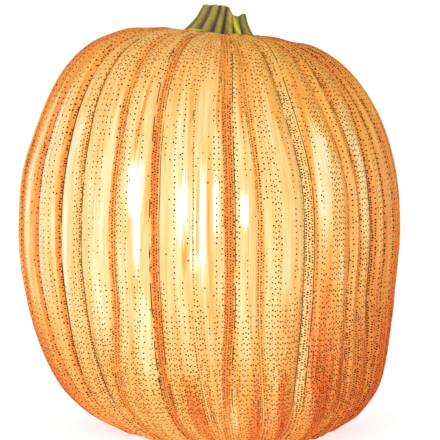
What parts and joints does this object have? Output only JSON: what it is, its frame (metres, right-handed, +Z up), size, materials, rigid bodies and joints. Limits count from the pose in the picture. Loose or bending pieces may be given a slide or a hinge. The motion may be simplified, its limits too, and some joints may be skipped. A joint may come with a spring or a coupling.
{
  "type": "pumpkin",
  "caption": "Tall ribbed field pumpkin standing on its flattened blossom end, with a short ridged and broken stub of stem on a tilted top.",
  "frame": {"origin": "on the surface that the pumpkin rests on, under the middle of its widest ring", "axes": "+Z up, from the blossom end to the stem; the front faces -Y, and the foot and the stem lean a little towards +X"},
  "size_m": [0.2987, 0.2923, 0.3328],
  "materials": {
    "rind": "satin",
    "stem_wood": "matte"
  },
  "bodies": {
    "root": {"fruit": "rind", "stem": "stem_wood"}
  },
  "joints": []
}
